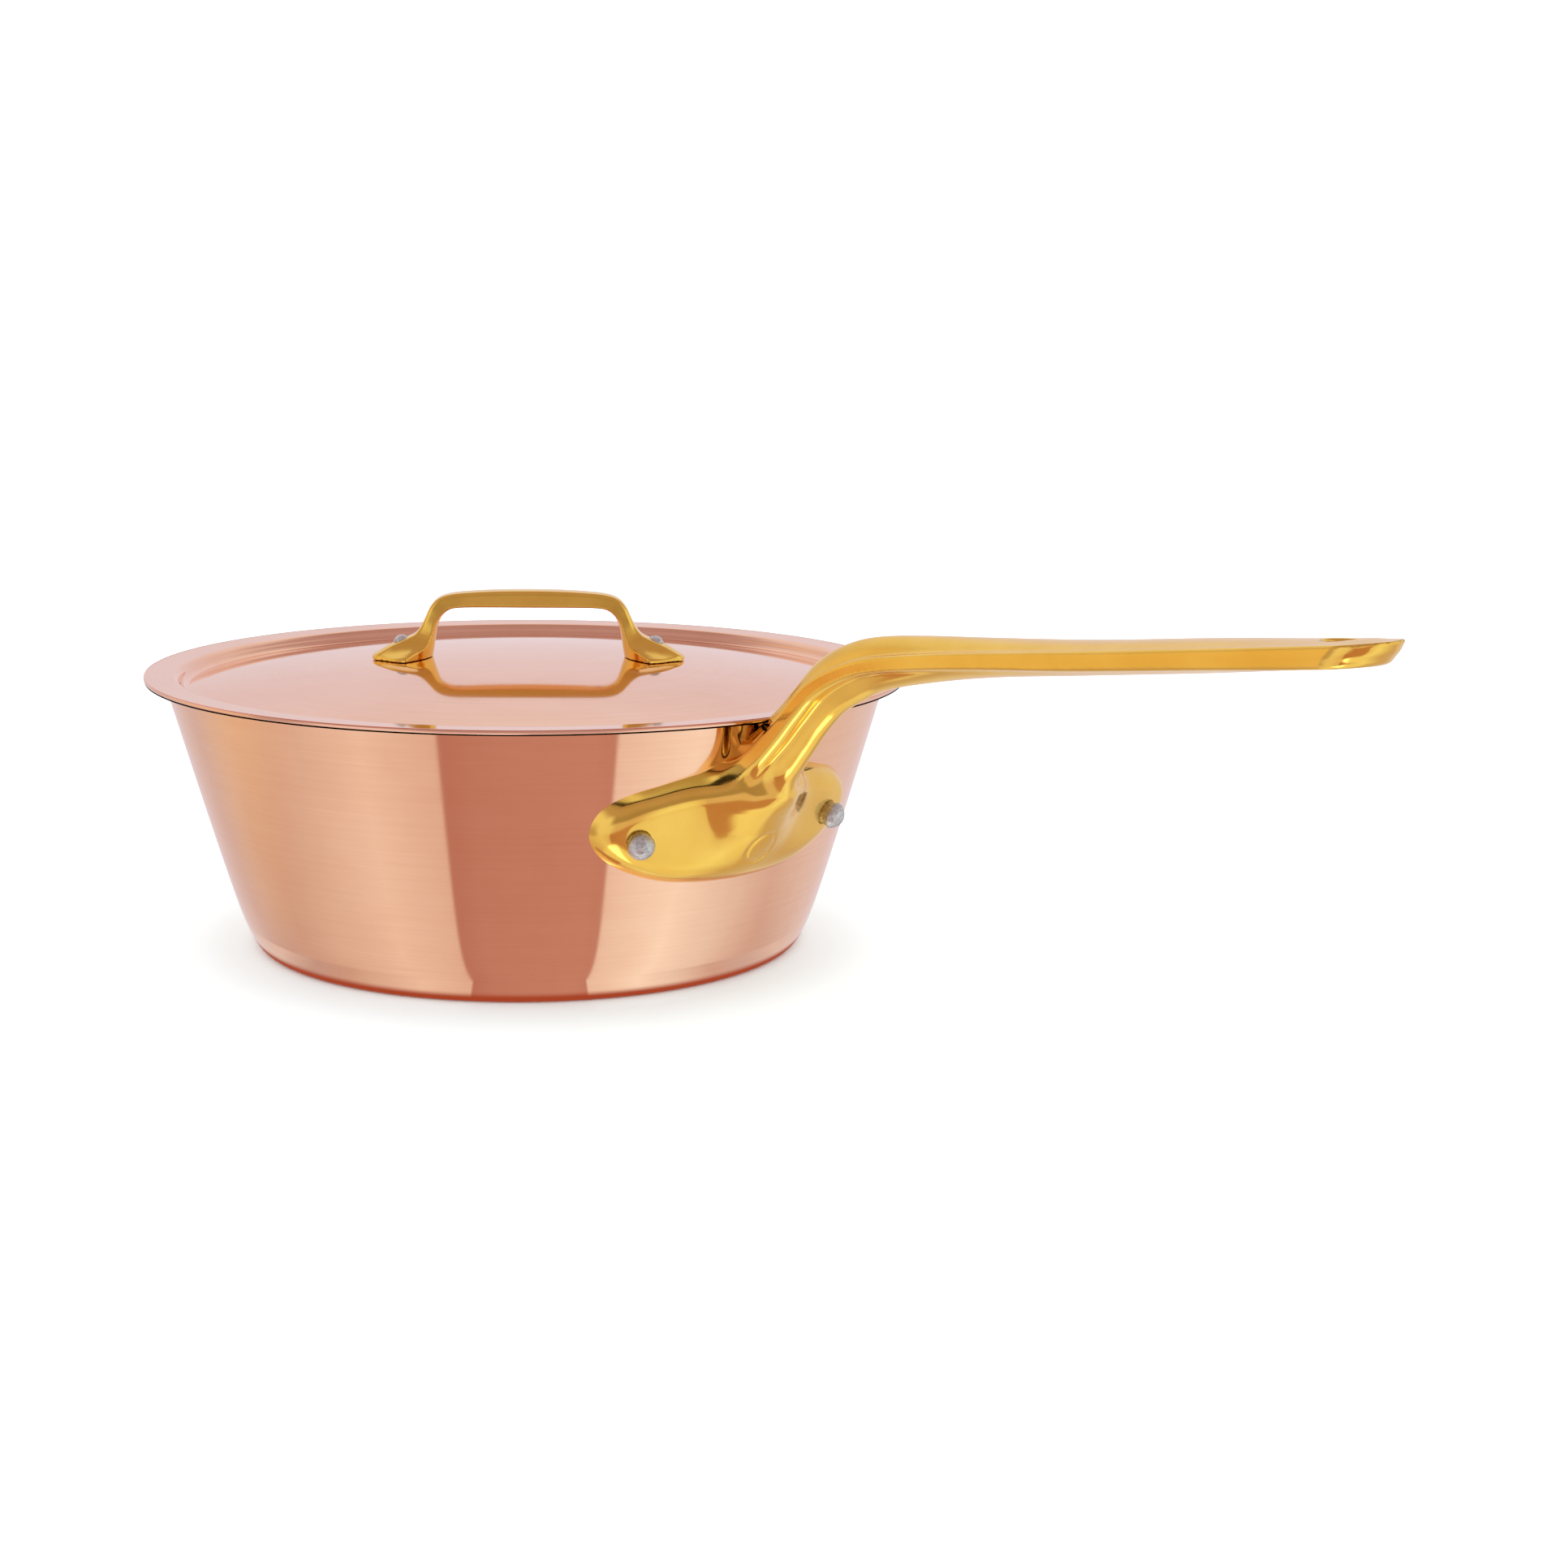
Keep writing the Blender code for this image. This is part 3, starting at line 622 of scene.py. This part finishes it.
def flange_field(x, y, z):
    """Two lobes on the wall: bevelled top edge, soft crest below it, dished face, central ridge."""
    off = off_wall(x, y, z)
    edge = closed_distance(flange_line, y, z)
    upper = np.clip((z - UPPER_FROM[0]) / (UPPER_FROM[1] - UPPER_FROM[0]), 0.0, 1.0)
    upper = upper * upper * (3.0 - 2.0 * upper)
    below = z - (FLANGE_TOP - CREST_SAG * y ** 2 - CREST_DROP)
    crest = CREST_LIFT[0] + CREST_LIFT[1] * np.exp(-(y / CREST_SPREAD) ** 2)
    crest = crest * np.exp(-(below / np.where(below < 0.0, *CREST_WIDTH)) ** 2)
    rise = np.maximum(z - FLANGE_FOOT, 0.0)
    ridge_width = RIDGE_WIDTH[0] - RIDGE_WIDTH[1] * rise
    ridge = (RIDGE_RISE[0] * rise + RIDGE_RISE[1] * rise ** 2) * np.exp(-(y / ridge_width) ** 2)
    disc = np.hypot(y - BADGE_SPOT[0], z - BADGE_SPOT[1]) - BADGE_RADIUS
    sunk = BADGE_GROOVE * np.exp(-(disc / 0.5) ** 2) + BADGE_DEPTH * np.clip(0.5 - disc, 0.0, 1.0)
    dish = FLANGE_DEPTH + np.hypot(crest, ridge) - sunk
    lean = EDGE_LEAN[0] + (EDGE_LEAN[1] - EDGE_LEAN[0]) * upper
    rounding = EDGE_ROUNDING[0] + (EDGE_ROUNDING[1] - EDGE_ROUNDING[0]) * upper
    skin = smooth_max(off - dish, (edge + lean * off) / np.hypot(1.0, lean), rounding)
    return np.maximum(skin, -FLANGE_BACK - off)


def handle_field(x, y, z):
    """Flange and grip in one casting, kept clear of the lid's edge."""
    body = smooth_min(grip_field(x, y, z), flange_field(x, y, z), NECK_BLEND)
    web = smooth_max(np.abs(y) - WEB_HALF_WIDTH, np.maximum(z - WEB_HEIGHTS[1], x - WEB_REACH), 1.0)
    body = smooth_min(body, np.maximum(web, WEB_HEIGHTS[0] - z), 2.0)
    lid_reach = LID_RADIUS + LID_CLEARANCE - np.hypot(x, y)
    lid_foot = z - (LID_TOP - LID_COPPER - LID_LINING - LID_CLEARANCE)
    body = smooth_max(body, np.minimum(lid_reach, lid_foot), 0.4)
    return np.maximum(body, -FLANGE_BACK - off_wall(x, y, z))


# ------------------------------------------------------------------ lid handle

# Half of the bail, mm above the lid's flat edge. Outer line: x, z, half-width at the outer face,
# widening of the half-width for each mm of depth.
BAIL_STATIONS = (
    (-6.0, 22.25, 3.7, 0.08),
    (0.0, 22.3, 3.7, 0.08),
    (8.0, 22.2, 3.7, 0.08),
    (16.0, 21.8, 3.6, 0.08),
    (21.5, 21.2, 3.5, 0.10),
    (25.0, 20.0, 3.3, 0.14),
    (27.2, 17.7, 3.2, 0.20),
    (28.6, 14.8, 3.1, 0.28),
    (30.0, 12.0, 3.1, 0.42),
    (32.2, 9.4, 3.2, 0.55),
    (35.4, 7.6, 3.4, 0.60),
    (38.6, 6.0, 3.2, 0.60),
    (42.4, 3.2, 2.0, 0.60),
)
BAIL_INSIDE = (
    (-6.0, 17.6), (0.0, 17.6), (12.0, 17.6), (18.6, 17.45), (21.6, 16.8), (23.7, 15.2),
    (25.0, 13.0), (25.7, 10.0), (26.3, 6.0), (27.1, 1.2), (27.8, -4.0),
)
bail_line = smooth_curve(BAIL_STATIONS, 260)
inside_line = smooth_curve(BAIL_INSIDE, 160)

# Plan of one foot, mm: (along the bail, across).
FOOT_HALF = (
    (43.0, 0.0), (41.7, 2.8), (39.4, 6.4), (36.6, 9.7), (33.2, 11.8), (29.6, 11.8), (26.6, 9.0),
    (25.6, 4.6), (25.4, 0.0),
)
foot_half = smooth_curve(FOOT_HALF, 80)
foot_line = np.vstack([foot_half, foot_half[-2:0:-1] * (1, -1)])


def bail_field(x, y, z):
    """Arched bar with a crowned outer face that spreads into two broad pointed feet."""
    reach = np.abs(x)
    up = z - LID_TOP
    place, depth = nearest_on_line(bail_line, reach, up)
    half = along(bail_line, place, 2) + along(bail_line, place, 3) * np.clip(depth, 0.0, 12.0)
    crowned = depth - 0.012 * y ** 2
    bar = smooth_max(np.abs(y) - half, -crowned, 0.9)
    floor = plate_height(np.hypot(x, y)) - LID_TOP + 0.12
    edge = closed_distance(foot_line, reach, y)
    top = smooth_min(0.9 - 0.5 * edge, np.full_like(edge, 4.3), 2.4)
    pad = smooth_max((up - floor - top) * 0.85, edge, 0.7)
    body = smooth_min(bar, pad, 3.6)
    _, hollow = nearest_on_line(inside_line, reach - 0.05 * y ** 2, up)
    return np.maximum(smooth_max(body, hollow, 0.35), floor - up)


# ------------------------------------------------------------------ materials

class Nodes:
    """Short hand for building the node tree of a material or of the world."""

    def __init__(self, owner):
        owner.use_nodes = True
        self.owner = owner
        self.tree = owner.node_tree
        self.shader = self.tree.nodes.get("Principled BSDF")

    def add(self, kind, **settings):
        node = self.tree.nodes.new(kind)
        for key, value in settings.items():
            setattr(node, key, value)
        return node

    def link(self, source, target):
        self.tree.links.new(source, target)

    def math(self, operation, a, b=None, clamp=False):
        node = self.add("ShaderNodeMath", operation=operation, use_clamp=clamp)
        for socket, value in zip(node.inputs, (a, b)):
            if value is None:
                continue
            if isinstance(value, (int, float)):
                socket.default_value = value
            else:
                self.link(value, socket)
        return node.outputs[0]

    def place(self):
        return self.add("ShaderNodeTexCoord").outputs["Object"]

    def split(self, vector):
        node = self.add("ShaderNodeSeparateXYZ")
        self.link(vector, node.inputs[0])
        return node.outputs

    def combine(self, x, y, z):
        node = self.add("ShaderNodeCombineXYZ")
        for socket, value in zip(node.inputs, (x, y, z)):
            if isinstance(value, (int, float)):
                socket.default_value = value
            else:
                self.link(value, socket)
        return node.outputs[0]

    def noise(self, vector, scale, detail=3.0, roughness=0.5):
        node = self.add("ShaderNodeTexNoise")
        node.inputs["Scale"].default_value = scale
        node.inputs["Detail"].default_value = detail
        node.inputs["Roughness"].default_value = roughness
        self.link(vector, node.inputs["Vector"])
        return node.outputs["Fac"]

    def ramp(self, factor, stops):
        node = self.add("ShaderNodeValToRGB")
        ramp = node.color_ramp
        while len(ramp.elements) < len(stops):
            ramp.elements.new(0.5)
        for element, (position, colour) in zip(ramp.elements, stops):
            element.position = position
            element.color = (*colour, 1.0)
        self.link(factor, node.inputs[0])
        return node.outputs["Color"]

    def span(self, factor, low, high):
        node = self.add("ShaderNodeMapRange")
        node.inputs["To Min"].default_value = low
        node.inputs["To Max"].default_value = high
        self.link(factor, node.inputs["Value"])
        return node.outputs["Result"]

    def colour(self, values):
        output = self.add("ShaderNodeRGB").outputs[0]
        output.default_value = (*values, 1.0)
        return output

    def step(self, value, low, high):
        node = self.add("ShaderNodeMapRange", interpolation_type="SMOOTHSTEP")
        node.inputs["From Min"].default_value = low
        node.inputs["From Max"].default_value = high
        self.link(value, node.inputs["Value"])
        return node.outputs["Result"]

    def blend(self, factor, a, b):
        node = self.add("ShaderNodeMix", data_type="RGBA")
        self.link(factor, node.inputs["Factor"])
        self.link(a, node.inputs[6])
        self.link(b, node.inputs[7])
        return node.outputs[2]

    def bump(self, height, strength, distance):
        node = self.add("ShaderNodeBump")
        node.inputs["Strength"].default_value = strength
        node.inputs["Distance"].default_value = distance
        self.link(height, node.inputs["Height"])
        self.link(node.outputs["Normal"], self.shader.inputs["Normal"])

    def set(self, **values):
        for key, value in values.items():
            self.shader.inputs[key.replace("_", " ")].default_value = value

    def paint(self, socket_name, source):
        self.link(source, self.shader.inputs[socket_name])

    def turned_metal(self, anisotropy):
        """Metal whose highlights are drawn out across the marks of a lathe."""
        self.set(Metallic=1.0, Anisotropic=anisotropy, Anisotropic_Rotation=0.25)
        tangent = self.add("ShaderNodeTangent", direction_type="RADIAL", axis="Z")
        self.paint("Tangent", tangent.outputs["Tangent"])

    def round_from_camera(self, place):
        """A place turned until the camera stands at -Y, and its angle round from the camera."""
        turned = self.add("ShaderNodeVectorRotate", rotation_type="Z_AXIS")
        turned.inputs["Angle"].default_value = -CAMERA_AZIMUTH
        self.link(place, turned.inputs["Vector"])
        x, y, z = self.split(turned.outputs[0])
        return x, y, z, self.math("ARCTAN2", x, self.math("MULTIPLY", y, -1.0))

    def zone(self, share, stops):
        """Colour at a share of a full turn, from stops in degrees round from the camera."""
        return self.ramp(share, [(0.5 + degrees / 360, colour) for degrees, colour in stops])


def new_material(name):
    return Nodes(bpy.data.materials.new(name))


def round_place(nodes, around, across):
    """Vector that changes slowly round Z and quickly with radius plus height, with no seam."""
    x, y, z = nodes.split(nodes.place())
    flat = nodes.combine(x, y, 0.0)
    unit = nodes.add("ShaderNodeVectorMath", operation="NORMALIZE")
    nodes.link(flat, unit.inputs[0])
    ux, uy, _ = nodes.split(unit.outputs[0])
    length = nodes.add("ShaderNodeVectorMath", operation="LENGTH")
    nodes.link(flat, length.inputs[0])
    measure = nodes.math("ADD", length.outputs["Value"], z)
    return nodes.combine(nodes.math("MULTIPLY", ux, around), nodes.math("MULTIPLY", uy, around),
                         nodes.math("MULTIPLY", measure, across))


def brushed_copper(name, colours, roughness, anisotropy):
    """Polished copper turned on a lathe: fine rings and slow changes of colour."""
    nodes = new_material(name)
    rings = nodes.noise(round_place(nodes, 1.2, 700.0), 1.0, 3.0, 0.6)
    fine = nodes.noise(round_place(nodes, 5.0, 2600.0), 1.0, 2.0, 0.5)
    cloud = nodes.noise(nodes.place(), 22.0, 3.0, 0.55)
    tarnish = nodes.noise(nodes.place(), 75.0, 5.0, 0.62)
    mixed = nodes.math("ADD", nodes.math("MULTIPLY", rings, 0.6), nodes.math("MULTIPLY", fine, 0.4))
    tone = nodes.math("ADD", nodes.math("MULTIPLY", cloud, 0.45), nodes.math("MULTIPLY", mixed, 0.35))
    tone = nodes.math("ADD", tone, nodes.math("MULTIPLY", tarnish, 0.2))
    nodes.paint("Base Color", nodes.ramp(tone, ((0.36, colours[0]), (0.62, colours[1]))))
    nodes.paint("Roughness", nodes.span(nodes.step(tone, 0.35, 0.65), roughness[1], roughness[0]))
    nodes.bump(rings, 0.02, 0.00004)
    nodes.turned_metal(anisotropy)
    return nodes.owner


def cast_bronze(name):
    """Polished casting: a slow change of colour, swirls of polish and a faint unevenness."""
    nodes = new_material(name)
    place = nodes.place()
    cloud = nodes.noise(place, 60.0, 4.0, 0.6)
    nodes.paint("Base Color", nodes.ramp(cloud, ((0.32, (0.87, 0.555, 0.10)), (0.68, (0.93, 0.63, 0.135)))))
    swirl = nodes.noise(place, 240.0, 3.0, 0.6)
    nodes.paint("Roughness", nodes.span(swirl, 0.07, 0.17))
    nodes.bump(nodes.noise(place, 120.0, 2.0, 0.5), 0.06, 0.0002)
    nodes.set(Metallic=1.0)
    return nodes.owner


def rivet_steel(name):
    """Dull steel with fine pits that are darker and rougher."""
    nodes = new_material(name)
    place = nodes.place()
    pits = nodes.noise(place, 1300.0, 4.0, 0.65)
    tones = ((0.34, (0.36, 0.37, 0.38)), (0.5, (0.60, 0.62, 0.64)), (0.7, (0.68, 0.70, 0.71)))
    nodes.paint("Base Color", nodes.ramp(pits, tones))
    nodes.paint("Roughness", nodes.span(pits, 0.55, 0.26))
    nodes.bump(pits, 0.5, 0.0003)
    nodes.set(Metallic=1.0)
    return nodes.owner


def satin_steel(name):
    """Lining with a fine turned grain."""
    nodes = new_material(name)
    grain = nodes.noise(round_place(nodes, 2.0, 1800.0), 1.0, 3.0, 0.6)
    nodes.paint("Base Color", nodes.ramp(grain, ((0.3, (0.56, 0.555, 0.545)), (0.7, (0.66, 0.655, 0.645)))))
    nodes.paint("Roughness", nodes.span(grain, 0.22, 0.36))
    nodes.bump(grain, 0.08, 0.00004)
    nodes.turned_metal(0.6)
    return nodes.owner


# ------------------------------------------------------------------ pieces

def make_pan(copper, steel):
    outline = pan_outline(RIM_HEIGHT - EDGE_EASE * COPPER / 2)
    shell = turned_mesh("copper_shell", layer(outline, 0.0, COPPER))
    add_piece(shell, copper, "pan", "pan_body")
    inside = turned_mesh("steel_liner", layer(outline, COPPER + SKIN_GAP, COPPER + LINING))
    add_piece(inside, steel, "pan", "pan_lining")


def make_lid(copper, steel):
    top = turned_mesh("lid_copper_disc", lid_layer(0.0, LID_COPPER, EDGE_LIFT, 0.0))
    add_piece(top, copper, "lid", "lid_plate")
    under = lid_layer(LID_COPPER + SKIN_GAP, LID_COPPER + LID_LINING, 0.0, STEEL_INSET)
    add_piece(turned_mesh("lid_steel_disc", under), steel, "lid", "lid_lining")


def make_handles(bronze):
    """Both castings, each meshed inside a block that holds it, mm."""
    low = (78.0, -45.0, 29.0)
    high = (GRIP_END + 1.5, 45.0, 119.0)
    mesh = mesh_from_field("bronze_handle", handle_field, low, high, GRIP_STEP)
    add_piece(mesh, bronze, "pan", "pan_handle")
    low = (-45.0, -14.0, LID_TOP)
    high = (45.0, 14.0, LID_TOP + 24.0)
    mesh = mesh_from_field("bronze_bail", bail_field, low, high, BAIL_STEP)
    mesh.transform(Matrix.Rotation(BAIL_TURN, 4, "Z"))
    add_piece(mesh, bronze, "lid", "lid_handle")


# ------------------------------------------------------------------ stage

def make_camera():
    lens = bpy.data.cameras.new("camera")
    lens.lens = LENS
    lens.sensor_width = 36.0
    lens.clip_end = 20.0
    camera = add_object("camera", lens)
    aim = (Matrix.Rotation(CAMERA_YAW, 4, "Z") @ Matrix.Rotation(CAMERA_PITCH, 4, "X")
           @ Matrix.Rotation(CAMERA_ROLL, 4, "Y") @ Matrix.Rotation(math.pi / 2, 4, "X"))
    stand = Matrix.Translation((0.0, -CAMERA_REACH, CAMERA_HEIGHT))
    camera.matrix_world = Matrix.Rotation(CAMERA_AZIMUTH, 4, "Z") @ stand @ aim
    bpy.context.scene.camera = camera


def make_floor():
    nodes = new_material("pale_floor")
    nodes.set(Base_Color=(0.80, 0.87, 0.89, 1.0), Roughness=0.7)
    builder = bmesh.new()
    bmesh.ops.create_grid(builder, x_segments=1, y_segments=1, size=6.0)
    mesh = bpy.data.meshes.new("floor")
    builder.to_mesh(mesh)
    builder.free()
    mesh.materials.append(nodes.owner)
    floor = add_object("floor", mesh)
    floor.location.z = -FLOOR_DROP * MM
    floor.visible_glossy = False


def make_painted_shade_card():
    """Glowing ring on the floor that only reflections see: painted reflections of the table round the pan,
    darkening to a painted contact shadow at the pan's edge.
    """
    nodes = new_material("painted_shade_card")
    x, y, _, around = nodes.round_from_camera(nodes.place())
    share = nodes.math("ADD", nodes.math("MULTIPLY", around, CARD_GAIN / math.tau), 0.5, clamp=True)
    glow = nodes.add("ShaderNodeEmission")
    painted_table = nodes.zone(share, TABLE)
    squares = nodes.math("ADD", nodes.math("MULTIPLY", x, x), nodes.math("MULTIPLY", y, y))
    painted_shade_radii = (CONE_RADIUS - 2.2) * MM, (CONE_RADIUS + 0.6) * MM
    past_painted_shade = nodes.step(nodes.math("SQRT", squares), *painted_shade_radii)
    # painted contact shadow near the pan's edge, turning into the painted table reflection further out
    nodes.link(nodes.blend(past_painted_shade, nodes.colour(CONTACT_SHADE), painted_table), glow.inputs["Color"])
    nodes.link(glow.outputs[0], nodes.tree.nodes["Material Output"].inputs["Surface"])
    inner, outer = BASE_RADIUS - 4.0, CONE_RADIUS + 5.0
    mesh = turned_mesh("painted_shade_card", [(inner, 0.0), (outer, 0.0)], 96)
    mesh.materials.append(nodes.owner)
    card = add_object("painted_shade_card", mesh)
    card.location.z = -CARD_DROP * MM
    card.visible_camera = False
    card.visible_diffuse = False
    card.visible_shadow = False


def make_world():
    """White to the camera; the metal mirrors soft zones by height and direction instead."""
    world = bpy.data.worlds.new("studio")
    bpy.context.scene.world = world
    nodes = Nodes(world)
    background = nodes.tree.nodes["Background"]
    place = nodes.add("ShaderNodeTexCoord").outputs["Generated"]
    _, _, z, azimuth = nodes.round_from_camera(place)
    share = nodes.math("ADD", nodes.math("DIVIDE", azimuth, math.tau), 0.5)
    elevation = nodes.math("DEGREES", nodes.math("ARCSINE", z))
    table, walls, under, ceiling = (nodes.zone(share, stops) for stops in (TABLE, WALLS, UNDER, CEILING))
    seen = nodes.blend(nodes.step(elevation, *TABLE_FROM), under, table)
    seen = nodes.blend(nodes.step(elevation, *WALLS_FROM), seen, walls)
    aside = nodes.math("DEGREES", nodes.math("ABSOLUTE", azimuth))
    in_front = nodes.math("SUBTRACT", 1.0, nodes.step(aside, *FRONT_HALF))
    in_front = nodes.math("MULTIPLY", in_front, nodes.step(elevation, *FRONT_FROM))
    seen = nodes.blend(in_front, seen, nodes.colour(FRONT))
    seen = nodes.blend(nodes.step(elevation, *CEILING_FROM), seen, ceiling)
    seen = nodes.blend(nodes.step(elevation, *ZENITH_FROM), seen, nodes.colour(ZENITH))
    rays = nodes.add("ShaderNodeLightPath")
    shown = nodes.add("ShaderNodeMix", data_type="RGBA")
    nodes.link(rays.outputs["Is Glossy Ray"], shown.inputs["Factor"])
    shown.inputs[6].default_value = (WHITE_LEVEL, WHITE_LEVEL, WHITE_LEVEL, 1.0)
    nodes.link(seen, shown.inputs[7])
    nodes.link(shown.outputs[2], background.inputs["Color"])


def main():
    make_camera()
    make_floor()
    make_painted_shade_card()
    make_world()
    bpy.context.scene.view_settings.view_transform = "Standard"
    copper = brushed_copper("polished_copper", colours=((0.885, 0.54, 0.36), (0.935, 0.625, 0.435)),
                            roughness=(0.05, 0.10), anisotropy=0.95)
    lid_copper = brushed_copper("mirror_copper", colours=((0.87, 0.525, 0.375), (0.94, 0.61, 0.46)),
                                roughness=(0.03, 0.08), anisotropy=0.4)
    bronze = cast_bronze("polished_bronze")
    steel = satin_steel("satin_steel")
    rivets = rivet_steel("dull_rivet_steel")
    make_pan(copper, steel)
    make_lid(lid_copper, steel)
    make_handles(bronze)
    make_rivets(rivets)


main()
